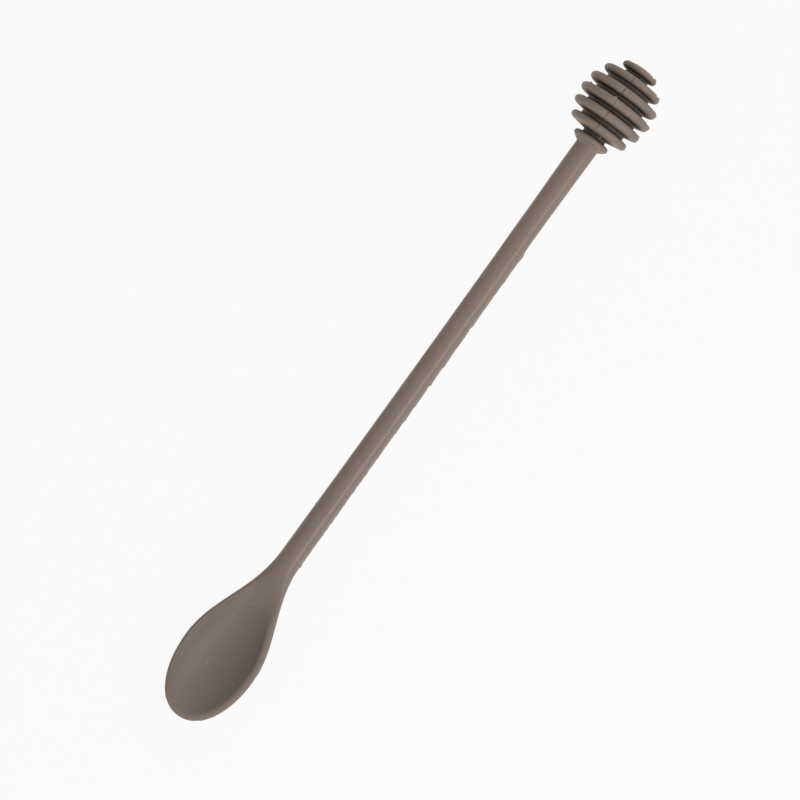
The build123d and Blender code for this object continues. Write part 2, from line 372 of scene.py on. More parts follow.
    def hollow_gap(self, p: Array) -> Array:
        """Grows from below 0 outside the hollow to above 0 inside it."""
        start = self.lip_width + self.hollow_front_land
        reach = np.clip(p[..., 0], start, self.hollow_end_reach - self.hollow_end_land)
        wide = self.hollow_half_width(reach)
        deep = self.hollow_depth(reach)
        up = p[..., 2] - self.hollow_middle(reach)
        return wide * deep - p[..., 1] ** 2 * deep / wide - up**2 * wide / deep

    def top_gap(self, p: Array) -> Array:
        """Grows from below 0 under the lip and scarf to above 0 over them."""
        return p[..., 2] - self.top_height(p[..., 0])

    def rounded_gap(self, p: Array) -> Array:
        """The distance from the spoon's surface, its lip's two edges rounded to the lip's radius."""
        faces = [distance_and_normal(gap, p) for gap in (self.hull_gap, self.hollow_gap, self.top_gap)]
        behind = p[..., 0] > self.hollow_end_reach - self.hollow_edge_land
        faces[1] = (np.where(behind, FAR_BELOW, faces[1][0]), faces[1][1])
        worst = np.maximum.reduce([face[0] for face in faces])
        for one, other in ((0, 2), (1, 2), (0, 1)):
            worst = np.maximum(worst, round_meeting(faces[one], faces[other], self.lip_radius))
        return worst

    def row_reaches(self) -> Array:
        """Where each row leaves the outline, evenly spaced round it from the tip to the neck."""
        turn = np.linspace(0.0, pi / 2, self.outline_samples)
        front = self.widest_reach * (1 - np.cos(turn))
        rear = np.linspace(self.widest_reach, self.length, 2 * self.outline_samples)[1:]
        reach = np.concatenate([front, rear])
        outline = np.stack([reach, self.plan_half_width(reach)], axis=1)
        return spread_evenly(outline, self.rows)[:, 0]

    def row(self, reach: float) -> Array:
        """One line of points from the keel, out to the outline, over the lip and in to the floor.

        Args:
            reach: Where the line touches the outline.

        Returns:
            Points as reach, across, up, one for each column of half a section.
        """
        spare = max(0.0, 1 - reach / self.fan_end_reach)
        middle = np.array([reach + self.fan_reach * spare**2, 0.0])
        edge = np.array([reach, float(self.plan_half_width(np.array(reach)))])
        out = np.sin(np.linspace(0.0, pi / 2, self.row_samples))[:, None]
        below = middle + (edge - middle) * out
        inward = (np.linspace(0.0, 1.0, 3 * self.row_samples)[1:] ** 3)[:, None]
        above = edge + (middle - edge) * inward
        under_z = -self.section_drop(below[:, 0]) - self.hull_half_height(below)
        under_line = np.column_stack([below, under_z])
        over_line = np.vstack([under_line[-1:], np.column_stack([above, self.top_of(above)])])
        from_edge = np.linalg.norm(over_line[:, :2] - edge, axis=1)
        density = 1.0 + self.lip_density * bell(from_edge, self.lip_density_width)
        under = spread_evenly(under_line, self.columns.under + 1)
        over = spread_evenly(over_line, self.columns.over + 1, density)
        return np.vstack([under, over[1:]])

    def hull_half_height(self, plan: Array) -> Array:
        """How far the hull reaches from its section's middle over points given as reach and across."""
        reach = np.maximum(plan[:, 0], MIN_REACH)
        share = np.clip(plan[:, 1] / self.plan_half_width(reach), 0, 1)
        return (self.keel_depth(reach) - self.section_drop(reach)) * np.sqrt(1 - share**2)

    def top_of(self, plan: Array) -> Array:
        """The height of the lip, the scarf or the hollow over points given as reach and across."""
        crown = -self.section_drop(plan[:, 0]) + self.hull_half_height(plan)
        top = np.minimum(crown, self.top_height(plan[:, 0]))
        start, end = self.lip_width, self.hollow_end_reach - SLIVER
        reach = np.clip(plan[:, 0], start + SLIVER, end)
        share = plan[:, 1] / self.hollow_half_width(reach)
        dip = self.hollow_depth(reach) * np.sqrt(np.clip(1 - share**2, 0, None))
        inside = (share < 1) & (plan[:, 0] > start) & (plan[:, 0] < end)
        return np.where(inside, np.minimum(top, self.hollow_middle(reach) - dip), top)

    def half_rows(self) -> Array:
        """All rows of one side, drawn on to the rounded surface, with X from the part's middle."""
        rows = np.stack([self.row(float(reach)) for reach in self.row_reaches()])
        for _ in range(self.surface_steps):
            rows = step_to_surface(self.rounded_gap, rows)
        rows[..., 2] = self.eased_heights(rows)
        rows[0, :, 0] = np.maximum(rows[0, :, 0], rows[1, :, 0].min())
        rows[..., 0] -= HALF_LENGTH
        return rows

    def eased_heights(self, rows: Array) -> Array:
        """Lets the hollow and the scarf run out into the round neck without a crease.

        Args:
            rows: Points as reach, across, up, by row and column.

        Returns:
            Their heights, levelled with their neighbours' where the spoon becomes the neck.
        """
        reach, heights = rows[..., 0], rows[..., 2].copy()
        share = rows[..., 1] / self.plan_half_width(np.maximum(reach, MIN_REACH))
        softness = ramp(reach, *self.easing_rise) * (1 - ramp(reach, *self.easing_fall))
        softness = softness * (1 - ramp(share, *self.easing_edge))
        softness = np.where(heights > -self.section_drop(reach), softness, 0.0)
        for _ in range(self.easing_rounds):
            wide = np.pad(heights, 1, mode="edge")
            wide[1:-1, -1] = heights[:, -2]
            level = (wide[1:-1, :-2] + wide[1:-1, 2:] + wide[:-2, 1:-1] + wide[2:, 1:-1]) / 4
            heights += softness * (level - heights)
        return heights


def distance_and_normal(gap: Callable[[Array], Array], p: Array) -> tuple[Array, Array]:
    """Scales a gap to a distance in millimetres, near its surface.

    Args:
        gap: A function that is 0 on a surface and grows outwards.
        p: Points, with three values on the last axis.

    Returns:
        The distances and the outward normals.
    """
    shifts = SLIVER * np.eye(3)
    slope = np.stack([(gap(p + shift) - gap(p - shift)) / (2 * SLIVER) for shift in shifts], axis=-1)
    steepness = np.maximum(np.linalg.norm(slope, axis=-1), 1e-6)
    return gap(p) / steepness, slope / steepness[..., None]


def round_meeting(one: tuple[Array, Array], other: tuple[Array, Array], radius: float) -> Array:
    """The distance from an outer edge between two faces, rounded to a radius.

    Args:
        one: The distances and normals of the first face.
        other: The distances and normals of the second face.
        radius: The edge's radius in millimetres.

    Returns:
        The distance where the edge is nearest, and far below 0 elsewhere.
    """
    a, b = one[0] + radius, other[0] + radius
    aligned = np.clip(np.sum(one[1] * other[1], axis=-1), -0.999, 0.9999)
    by_edge = (a - b * aligned > 0) & (b - a * aligned > 0) & (a > 0) & (b > 0)
    reach = np.sqrt(np.maximum(a * a + b * b - 2 * a * b * aligned, 0) / (1 - aligned**2))
    return np.where(by_edge, reach - radius, FAR_BELOW)


def step_to_surface(gap: Callable[[Array], Array], p: Array) -> Array:
    """Moves points one Newton step, of limited length, towards a surface."""
    distance, normal = distance_and_normal(gap, p)
    return p - np.clip(distance, -LONGEST_STEP, LONGEST_STEP)[..., None] * normal


@dataclass(frozen=True)
class DipperHead:
    """Seven rings with grooves between them, as rows of a turned outline."""

    columns: Columns
    radius: float = 12.7
    pitch: float = 4.43
    step_shares: Series = (0.955, 1.0, 1.0, 1.0, 1.0, 0.93)
    ring_shares: Series = (0.49, 0.81, 0.955, 1.0, 0.96, 0.805, 0.485)
    nose_shares: Series = (0.215, 0.255, 0.28, 0.28, 0.275, 0.255, 0.225)
    groove_shares: Series = (0.323, 0.614, 0.693, 0.693, 0.614, 0.323)
    flank_taper: float = radians(10)
    flare_angle: float = radians(55)
    foot_land: float = 0.5
    dome_height: float = 2.2
    handle_radius: float = 3.83
    last_nose_end: float = radians(28)
    seam_least_radius: float = 3.0
    corner_blur: float = 0.11
    row_spacing: float = 0.29
    nose_points: int = 24
    dome_points: int = 30
    samples: int = 6000
    groove_shade: Pair = (1.35, 2.35)

    @property
    def end_ring_x(self) -> float:
        """The middle of the last ring."""
        return HALF_LENGTH - self.dome_height

    def ring_x(self, index: int) -> float:
        """The middle of a ring, counted from the handle."""
        return self.end_ring_x - sum(self.step_shares[index:]) * self.pitch

    def nose_radius(self, index: int) -> float:
        """How round a ring's edge is."""
        return self.pitch * self.nose_shares[index]

    def nose_height(self, index: int) -> float:
        """The radius at which a ring's rounded nose has its middle."""
        return self.radius * self.ring_shares[index] - self.nose_radius(index)

    def nose(self, index: int, start: float, end: float) -> list[Pair]:
        """A ring's round nose as points, between two angles from the axis' direction.

        Args:
            index: Which ring, counted from the handle.
            start: The angle of the first point, where pi faces the handle.
            end: The angle of the last point, where 0 faces the tip.

        Returns:
            Points as place along the part and radius.
        """
        x, height, radius = self.ring_x(index), self.nose_height(index), self.nose_radius(index)
        angles = np.linspace(start, end, self.nose_points)
        return [(x + radius * cos(a), height + radius * sin(a)) for a in angles]

    def outline(self) -> Array:
        """The turned outline from the handle to the tip, before its corners are softened."""
        last = len(self.ring_shares) - 1
        taper, flare = self.flank_taper, self.flare_angle
        flare_x = self.ring_x(0) - self.nose_radius(0) * sin(flare)
        flare_r = self.nose_height(0) + self.nose_radius(0) * cos(flare)
        foot_x = flare_x - (flare_r - self.handle_radius) / tan(flare)
        points = [(foot_x - self.foot_land, self.handle_radius), (foot_x, self.handle_radius)]
        points += self.nose(0, pi / 2 + flare, taper)
        for index in range(last):
            floor = self.radius * self.groove_shares[index]
            for ring, side in ((index, 1), (index + 1, -1)):
                nose = self.nose_radius(ring)
                drop = self.nose_height(ring) + nose * sin(taper) - floor
                away = nose * cos(taper) + drop * tan(taper)
                points.append((self.ring_x(ring) + side * away, floor))
            nose_end = taper if index + 1 < last else self.last_nose_end
            points += self.nose(index + 1, pi - taper, nose_end)
        nose_h = self.nose_height(last)
        rise = self.dome_height - self.nose_radius(last)
        dome = (nose_h**2 + self.dome_height**2 - self.nose_radius(last) ** 2) / (2 * rise)
        dome_x = HALF_LENGTH - dome
        half_turn = np.arctan2(nose_h, self.end_ring_x - dome_x)
        angles = np.linspace(half_turn, 0.0, self.dome_points)
        points += [(dome_x + dome * cos(a), dome * sin(a)) for a in angles]
        return np.array(points)

    def profile(self) -> Array:
        """The outline with its corners softened, one point a row of the mesh."""
        fine = spread_evenly(self.outline(), self.samples)
        spacing = float(np.linalg.norm(fine[1] - fine[0]))
        reach = int(BLUR_WIDTHS * self.corner_blur / spacing)
        weights = np.exp(-0.5 * (np.arange(-reach, reach + 1) * spacing / self.corner_blur) ** 2)
        weights /= weights.sum()
        along = np.convolve(np.pad(fine[:, 0], reach, mode="edge"), weights, mode="valid")
        past_axis = -fine[-2 : -reach - 2 : -1, 1]
        padded = np.concatenate([np.full(reach, fine[0, 1]), fine[:, 1], past_axis])
        out = np.convolve(padded, weights, mode="valid")
        length = spacing * len(fine)
        rows = spread_evenly(np.stack([along, out], axis=1), int(length / self.row_spacing))
        rows[-1] = (HALF_LENGTH, 0.0)
        return rows

    def joint_x(self) -> float:
        """Where the head's rows begin."""
        return float(self.outline()[0, 0])

    def in_groove(self, points: Array) -> Array:
        """How deep points lie between the rings, from 0 on their tops to 1 well inside a groove."""
        places = [self.ring_x(index) for index in range(len(self.ring_shares))]
        tops = np.interp(points[..., 0], places, self.radius * np.array(self.ring_shares))
        depth = tops - np.linalg.norm(points[..., 1:], axis=-1)
        between = (points[..., 0] > places[0]) & (points[..., 0] < places[-1])
        return np.where(between, ramp(depth, *self.groove_shade), 0.0)

    def half_rows(self) -> Array:
        """The rows of one side as points along, across and up from the axis."""
        rows = []
        for x, radius in self.profile():
            angles = self.columns.head_angles(max(radius, self.seam_least_radius))
            rows.append(around_axis(x, radius, angles))
        return np.stack(rows)


@dataclass(frozen=True)
class Handle:
    """The round handle between the spoon's neck and the head, thinnest along its waist."""

    columns: Columns
    start_x: float
    end_x: float
    neck_radius: float
    head_radius: float
    waist_radius: float = 3.63
    neck_taper: float = 39.0
    head_taper: float = 30.0
    rows: int = 225

    def radius_at(self, x: Array) -> Array:
        """The handle's radius at a place along it."""
        from_neck = (x - self.start_x) / self.neck_taper
        near_neck = cosine_fall(self.neck_radius, self.waist_radius, from_neck)
        from_head = (x - self.end_x + self.head_taper) / self.head_taper
        near_head = cosine_fall(self.waist_radius, self.head_radius, from_head)
        return near_neck + near_head - self.waist_radius

    def half_rows(self) -> Array:
        """The rows of one side, without those that the spoon and the head bring themselves."""
        rows = []
        places = np.linspace(self.start_x, self.end_x, self.rows + 2)[1:-1]
        first, last = self.columns.neck_angles(), self.columns.head_angles(self.head_radius)
        for x in places:
            angles = first + (last - first) * ramp(x, self.start_x, self.end_x)
            rows.append(around_axis(x, self.radius_at(x), angles))
        return np.stack(rows)


@dataclass(frozen=True)
class Mark:
    """A small trace of the mould on the rubber (a nub, a dent, a knit line, a pale patch), or a patch
    of painted shade and highlight.

    Places are in millimetres from the tool's middle and its axis. The mark fades out over its
    reach along each axis, and tone darkens the rubber below 0 and lightens it above 0.
    """

    place: Point
    reach: Point
    push: Point = (0.0, 0.0, 0.0)
    tone: float = 0.0

    def strength(self, points: Array) -> Array:
        """How strongly the mark works on each point, from 0 to 1."""
        return np.exp(-np.sum(((points - self.place) / self.reach) ** 2, axis=-1))


@dataclass(frozen=True)
class Track:
    """A value that changes along a line, given at a few places and straight between them."""

    places: Series
    values: Series
    blur: float = 2.5
    step: float = 0.1
    overrun: float = 10.0

    def at(self, place: Array) -> Array:
        """The value at each place."""
        return np.interp(place, self.places, self.values)

    def smoothed_at(self, place: Array) -> Array:
        """The value at each place, with the line's corners rounded."""
        end = HALF_LENGTH + self.overrun
        fine = np.linspace(-end, end, round(2 * end / self.step) + 1)
        reach = int(BLUR_WIDTHS * self.blur / self.step)
        weights = bell(np.arange(-reach, reach + 1) * self.step, self.blur)
        padded = np.pad(self.at(fine), reach, mode="edge")
        return np.interp(place, fine, np.convolve(padded, weights / weights.sum(), mode="valid"))


@dataclass(frozen=True)
class MouldTraces:
    """What the two halves of the mould left on the rubber, and the tool's own slight bends. The tone
    also
    carries painted shade and light: shade deep in the grooves, on the head's -Y side and in a few
    patches, and light towards the head and on the head's +Y side.

    Each pale patch gives its ring, how far ahead of the ring it lies, its place across and up, its
    reach along and across, and its tone. Each knit line gives its ring, its place across and its tone.
    """

    flash_rise: Pair = (-68.5, -65.5)
    flash_fall: Pair = (55.2, 56.0)
    flash_height: float = 0.1
    flash_width: float = 0.34
    tooth_ramp: float = 0.3
    tooth_places: Series = (
        -64.8, -62.1, -59.8, -57.0, -54.6, -52.9, -50.2, -47.6, -45.1, -42.7, -40.5, -38.7, -37.5,
        -36.0, -33.2, -31.9, -29.4, -26.4, -22.7, -17.9, -13.0, -8.2, -2.6, 5.3, 12.4, 19.8, 27.8,
        34.6, 41.0, 45.0, 50.4, 53.4,
    )  # fmt: skip
    tooth_peaks: Series = (0.24, 0.1, 0.16, 0.08, 0.12, 0.18, 0.14, 0.2)
    bend: Track = Track(
        (-125, -90, -60, 20, 50, 60, 87, 94, 104, 110, 116, 125),
        (-0.11, -0.1, -0.07, -0.05, 0.06, 0.17, 0.17, 0.12, 0.17, 0.27, 0.22, 0.17),
    )
    lean: Track = Track(
        (95, 101, 105.5, 109.9, 114.3, 118.9, 123),
        (0.0, -0.029, -0.014, -0.002, 0.006, 0.021, 0.016),
    )
    stretch: Track = Track((78, 93), (0.0, 0.18))
    grain: Track = Track((-78, -60, 88, 96), (0.5, 0.33, 0.33, 0.47))
    # Painted light: the tone rises along the tool, so that it is lighter towards the head.
    gradual_change: Track = Track((-60, 95), (0.0, 0.17))
    # Painted shade and light across the head: darker on its -Y side, lighter on its +Y side.
    across: Track = Track((-12, -3, 6), (-0.2, 0.0, 0.08))
    across_ramp: float = 5.0
    # Painted shade: how much darker the rubber is deep inside the grooves.
    groove_painted_shade: float = -1.0
    knit_ahead: float = 0.15
    knit_reach: Point = (1.35, 0.22, 2.5)
    knit_push: Point = (0.0, 0.0, -0.1)
    knit_lines: tuple[tuple[int, float, float], ...] = (
        (1, 1.17, -0.5),
        (2, 0.78, -0.85),
        (3, 0.84, -0.7),
        (4, 0.70, -1.1),
        (5, 0.52, -0.6),
    )
    patch_reach_up: float = 2.0
    pale_patches: tuple[tuple[int, float, float, float, float, float, float], ...] = (
        (1, 0.0, 2.3, 10.2, 1.3, 0.9, 0.14),
        (1, 0.0, -0.2, 10.2, 1.3, 0.9, 0.14),
        (2, -0.1, 1.6, 12.1, 1.1, 0.35, 0.4),
        (2, 0.2, -0.4, 12.1, 1.1, 0.5, 0.14),
        (3, 0.0, 0.1, 12.6, 1.1, 0.5, 0.14),
        (4, -0.3, 1.6, 12.1, 1.2, 0.6, 0.32),
        (4, 0.1, -0.1, 12.1, 1.2, 0.4, 0.26),
        (5, 0.3, 1.4, 10.2, 1.0, 0.4, 0.14),
        (6, 0.0, 0.2, 6.0, 1.4, 0.8, 0.12),
        (4, -0.1, 5.3, 11.0, 1.2, 0.2, -0.3),
        (4, -0.2, -8.5, 8.8, 1.3, 0.25, 0.14),
    )
    nubs_dents_and_painted_shade: tuple[Mark, ...] = (
        Mark((109.92, 1.85, 12.6), (1, 0.8, 2), (0, 0, 0.05), 0.3),
        Mark((111.02, 1.5, 11.6), (0.6, 0.7, 1.6), (0.45, 0, 0)),
        Mark((123.9, -4.4, 1), (0.9, 0.3, 3), (-0.32, 0.1, 0)),
        Mark((124, -5.2, 0.5), (0.8, 0.4, 2.5), (0.3, -0.15, 0)),
        Mark((124.2, 4.9, 1), (0.8, 0.4, 3), (0.24, 0.1, 0)),
        Mark((119.9, -8.9, 2.5), (0.9, 0.32, 3.5), (-0.28, 0, 0)),
        Mark((119.8, -9.6, 1), (0.9, 0.4, 2.5), (0.22, -0.12, 0)),
        Mark((115.8, -10.15, 3), (0.9, 0.32, 4), (-0.22, 0, 0)),
        Mark((115.6, -11.2, 1), (0.8, 0.45, 2.5), (0.16, -0.08, 0)),
        Mark((115, -12.1, 0.5), (0.7, 0.35, 2), (0.2, -0.12, 0)),
        Mark((111.3, -11.3, 2), (0.8, 0.3, 3.5), (-0.3, 0, 0)),
        Mark((110.6, -12.6, 0), (0.45, 0.5, 1.4), (0.2, -0.32, 0)),
        Mark((109.2, -12.5, 0), (0.6, 0.6, 1.8), (0, 0.2, 0)),
        Mark((106.7, -11.7, 0.5), (0.6, 0.4, 2), (0.34, -0.16, 0)),
        Mark((105.4, -12.1, 0), (1, 0.5, 1.8), (0, 0.3, 0)),
        Mark((104.6, -11.7, 0), (0.5, 0.5, 1.4), (-0.1, 0.1, 0)),
        Mark((102, -9.9, 0), (0.4, 0.5, 1.4), (0.1, -0.12, 0)),
        Mark((101.2, -10.3, 0), (0.7, 0.4, 1.8), (0, 0.16, 0)),
        Mark((111.2, 10.4, 4), (0.9, 0.35, 5), (0.36, 0.08, 0)),
        Mark((111.2, 9.6, 5), (0.9, 0.35, 5), (-0.16, 0, 0)),
        Mark((125, 0, 0), (1.5, 5.5, 5.5), (-0.52, 0, 0)),
        Mark((104, 11, 0), (0.9, 0.5, 1.6), (0.1, 0, 0)),
        # The two creases are painted darker and the ridge between them lighter: painted shade and
        # highlight.
        Mark((54, -1.6, 3.3), (0.35, 1.8, 2.5), (0, 0, -0.1), -0.22),
        Mark((55.5, -1.6, 3.3), (0.35, 1.8, 2.5), (0, 0, -0.1), -0.22),
        Mark((54.8, -1.8, 3.2), (0.45, 1.2, 2.5), (0, 0, 0.08), 0.24),
        Mark((56, -3.6, 0), (0.9, 0.6, 0.6), (0, -0.16, 0)),
        # This faint crease is painted a little darker: painted shade.
        Mark((79, -1.4, 3.4), (0.4, 2.2, 2.5), (0, 0, -0.05), -0.06),
        Mark((27.3, -3.7, 0), (0.5, 0.5, 0.8), (0, 0.24, 0)),
        Mark((5.9, -3.8, 0), (0.4, 0.4, 0.6), (0, -0.16, 0)),
        Mark((4.6, -3.8, 0), (0.5, 0.5, 0.8), (0, 0.2, 0)),
        Mark((-64.3, -3.9, 0), (0.4, 0.5, 0.8), (0, -0.12, 0)),
        # Painted shade over the neck, where the hollow runs out.
        Mark((-76.5, 0.5, 3), (8, 7, 6), tone=-0.12),
        # Painted shade on the hollow's +Y wall near the tip.
        Mark((-116.5, 10.2, 1), (7, 3, 3), tone=-0.13),
        Mark((-125, 0, 0), (4, 11, 4), (-0.3, 0, 0)),
        Mark((-45.3, 3.6, 0), (0.5, 0.5, 0.8), (0, 0.14, 0)),
        # This dent in the spoon's edge is painted darker: painted shade.
        Mark((-101.5, -12.95, 0.2), (0.5, 0.5, 1.2), (0, 0.22, 0), -0.4),
        Mark((-122.9, -6.1, 0.4), (0.5, 0.5, 1), (0.12, 0.08, 0)),
    )

    def marks(self, head: DipperHead) -> list[Mark]:
        """All the marks that the photograph shows.

        Args:
            head: The head whose rings carry them.

        Returns:
            The marks.
        """
        found = list(self.nubs_dents_and_painted_shade)
        for ring, y, tone in self.knit_lines:
            top = head.radius * head.ring_shares[ring]
            place = (head.ring_x(ring) + self.knit_ahead, y, top)
            found.append(Mark(place, self.knit_reach, self.knit_push, tone))
        for ring, ahead, y, z, long, wide, tone in self.pale_patches:
            place = (head.ring_x(ring) + ahead, y, z)
            found.append(Mark(place, (long, wide, self.patch_reach_up), tone=tone))
        return found

    def flash(self, points: Array) -> Array:
        """The ragged line of flash along the handle's side, as a push outwards."""
        places = np.array(self.tooth_places)
        knots = np.stack([places - self.tooth_ramp, places], axis=1).ravel()
        peaks = np.resize(self.tooth_peaks, len(places))
        x = points[..., 0]
        teeth = np.interp(x, knots, np.stack([np.zeros(len(places)), peaks], axis=1).ravel())
        along = ramp(x, *self.flash_rise) * (1 - ramp(x, *self.flash_fall))
        side = (points[..., 1] < 0) * bell(points[..., 2], self.flash_width)
        return along * side * (self.flash_height + teeth)

    def leave_on(self, points: Array, head: DipperHead) -> tuple[Array, Array]:
        """Works all traces into the skin, and paints shade and light into its tone.

        Args:
            points: The skin's points, from the tool's middle and its axis.
            head: The head whose rings carry marks.

        Returns:
            The moved points, and each one's tone, darker below 0 and lighter above it.
        """
        moved, x = points.copy(), points[..., 0]
        on_head = ramp(x, head.joint_x(), head.joint_x() + self.across_ramp)
        # Painted shade deep in the grooves, and painted light towards the head.
        tone = self.groove_painted_shade * head.in_groove(points) + self.gradual_change.at(x)
        # Painted shade and light across the head.
        tone += on_head * self.across.at(points[..., 1])
        for mark in self.marks(head):
            strength = mark.strength(points)
            moved += strength[..., None] * np.array(mark.push)
            tone += strength * mark.tone
        moved[..., 1] += self.bend.smoothed_at(x) - self.flash(points)
        moved[..., 0] += self.lean.smoothed_at(x) * points[..., 2] + self.stretch.at(x)
        return moved, tone


@dataclass(frozen=True)
class Speck:
    """A dot of colour placed along and across the tool: a grain of dust that was pressed into the
    rubber, or the painted shade of a small pit.
    """

    x: float
    y: float
    radius: float = 0.13
    strength: float = 0.45


@dataclass(frozen=True)
class SatinSilicone:
    """Food-grade silicone rubber, compression moulded in a blasted steel mould.

    The blasted mould leaves a fine tooth, so the rubber has a soft satin sheen and no mirror. The
    handle was blasted finer than the spoon and the head, so its sheen is narrower. The pigment isn't
    quite even: the taupe drifts a little between warm and grey. The hollow's colour is greyer and
    darker as painted shade, and the tone layer darkens and lightens the rubber with more painted
    shade and light.
    """

    warm: str = "#816e5f"
    grey: str = "#7b6d63"
    # Painted shade: the hollow's colour is darker and greyer than the rest of the rubber.
    hollow: str = "#71655c"
    dust: str = "#c8bdb0"
    pit_shade_colour: str = "#3a322c"
    ior: float = 1.41
    drift_size: float = 14.0
    tone_gain: float = 0.75
    tooth_size: float = 0.35
    tooth_height: float = 0.004
    noise_detail: float = 2.0
    speck_softness: float = 0.5
    specks: tuple[Speck, ...] = (
        Speck(-78.9, 0.08), Speck(-79.6, -1.66, 0.12, 0.35), Speck(-82.67, 1.01, 0.15, 0.55),
        Speck(-89.22, 3.91, 0.13, 0.35), Speck(-106.55, 2.2, 0.16, 0.55),
        Speck(-107.34, -8.41, 0.15, 0.5), Speck(-99.4, -8.98, 0.13, 0.3),
        Speck(-103.6, 11.26, 0.2, 0.45), Speck(-103.1, 11.5, 0.14, 0.35),
        Speck(-107.0, 12.0, 0.16, 0.35), Speck(-122.1, 3.64, 0.15, 0.35),
        Speck(-85.5, -1.39, 0.1, 0.2), Speck(-85.8, -2.6, 0.1, 0.2),
        Speck(-86.15, -3.77, 0.1, 0.2), Speck(99.14, -1.62, 0.22, 0.4),
        Speck(106.09, -6.06, 0.16, 0.4), Speck(106.96, -5.61, 0.13, 0.25),
        Speck(47.04, 2.45, 0.13, 0.25), Speck(26.03, 2.9, 0.12, 0.25),
        Speck(12.37, 2.1, 0.12, 0.2),
    )
    # Dark dots that paint the shade of small pits.
    pit_shade_dots: tuple[Speck, ...] = (
        Speck(-103.98, 0.85, 0.15, 0.3), Speck(33.2, -1.26, 0.18, 0.6),
        Speck(-101.9, -12.6, 0.2, 0.4),
    )

    def build(self) -> bpy.types.Material:
        """Makes the material."""
        material = new_material("moulded_silicone_satin")
        tree = material.node_tree
        place = add_node(tree, "TexCoord").outputs["Object"]
        inputs = {
            "Base Color": self.pigment(tree, place),
            "Roughness": read_layer(tree, GRAIN),
            "IOR": self.ior,
            "Normal": self.tooth(tree, place),
        }
        shader = add_node(tree, "BsdfPrincipled", inputs)
        add_node(tree, "OutputMaterial", {"Surface": shader.outputs[0]})
        return material

    def pigment(self, tree: Tree, place: Socket) -> Socket:
        """The taupe, drifting between warm and grey, with its marks' tones, its painted shade and
        light, and its dust.

        Args:
            tree: The material's nodes.
            place: The place on the tool, in metres.

        Returns:
            The colour.
        """
        gradual_change = noise(tree, place, self.drift_size, self.noise_detail)
        plain = mix_colours(tree, gradual_change, linear(self.warm), linear(self.grey))
        # Painted shade: the hollow turns darker and greyer.
        plain = mix_colours(tree, read_layer(tree, HOLLOW_PAINTED_SHADE), plain, linear(self.hollow))
        gain = calculate(tree, "MULTIPLY_ADD", read_layer(tree, TONE), self.tone_gain, 1.0)
        inputs = {0: plain, "Scale": gain}
        colour = add_node(tree, "VectorMath", inputs, operation="SCALE").outputs[0]
        for specks, their_colour in ((self.specks, self.dust), (self.pit_shade_dots, self.pit_shade_colour)):
            colour = mix_colours(tree, self.dotted(tree, place, specks), colour, linear(their_colour))
        return colour

    def dotted(self, tree: Tree, place: Socket, specks: tuple[Speck, ...]) -> Socket:
        """How much of each point a set of specks covers, each speck a soft dot.

        Args:
            tree: The material's nodes.
            place: The place on the tool, in metres.
            specks: The specks.

        Returns:
            A share from 0 to 1.
        """
        flat = {0: place, 1: (1.0, 1.0, 0.0)}
        plan = add_node(tree, "VectorMath", flat, operation="MULTIPLY").outputs[0]
        total = None
        for speck in specks:
            spot = {0: plan, 1: (speck.x * MM, speck.y * MM, 0.0)}
            away = add_node(tree, "VectorMath", spot, operation="DISTANCE").outputs["Value"]
            inputs = {
                "Value": away,
                "From Min": speck.radius * (1 - self.speck_softness) * MM,
                "From Max": speck.radius * (1 + self.speck_softness) * MM,
                "To Min": speck.strength,
                "To Max": 0.0,
            }
            dot = add_node(tree, "MapRange", inputs).outputs[0]
            total = dot if total is None else calculate(tree, "ADD", total, dot)
        return total

    def tooth(self, tree: Tree, place: Socket) -> Socket:
        """The blasted mould's grain as a normal, three times as coarse as the grit so that it shows."""
        return bumped(tree, noise(tree, place, self.tooth_size, self.noise_detail), self.tooth_height)


class SteelForm(Enum):
    """How a piece of the steel core was made, with the direction that its fine lines run in."""

    DRAWN_ROD = (0.004, 1.0, 1.0)
    ROLLED_STRIP = (0.01, 1.0, 1.0)


@dataclass(frozen=True)
class StainlessSteel:
    """Type 304 stainless steel, cold drawn or cold rolled, so that fine lines run along it."""

    form: SteelForm
    bright: str = "#c9c7c3"
    dull: str = "#b3b1ad"
    roughness: float = 0.3
    roughness_spread: float = 0.12
    line_spacing: float = 0.12
    line_depth: float = 0.003
    line_detail: float = 3.0

    def build(self) -> bpy.types.Material:
        """Makes the material, named for the steel and its form."""
        material = new_material(f"stainless_304_{self.form.name.lower()}")
        tree = material.node_tree
        place = add_node(tree, "TexCoord").outputs["Object"]
        stretched = {0: place, 1: self.form.value}
        along = add_node(tree, "VectorMath", stretched, operation="MULTIPLY").outputs[0]
        lines = noise(tree, along, self.line_spacing, self.line_detail)
        inputs = {
            "Base Color": mix_colours(tree, lines, linear(self.dull), linear(self.bright)),
            "Metallic": 1.0,
            "Roughness": calculate(tree, "MULTIPLY_ADD", lines, self.roughness_spread, self.roughness),
            "Normal": bumped(tree, lines, self.line_depth),
        }
        shader = add_node(tree, "BsdfPrincipled", inputs)
        add_node(tree, "OutputMaterial", {"Surface": shader.outputs[0]})
        return material


@dataclass(frozen=True)
class SteelCore:
    """The rod and the strip inside the silicone, which keep their solids and get their steel."""

    forms: tuple[tuple[str, SteelForm], ...] = (
        ("core_rod", SteelForm.DRAWN_ROD),
        ("bowl_stiffener", SteelForm.ROLLED_STRIP),
    )

    def dress(self) -> None:
        """Puts the steel on the two solids' material slots."""
        for node, form in self.forms:
            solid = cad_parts[node]
            finish = StainlessSteel(form).build()
            if not solid.data.materials:
                solid.data.materials.append(finish)
            for slot in solid.material_slots:
                slot.material = finish
            log.info("%s dressed in %s", node, finish.name)


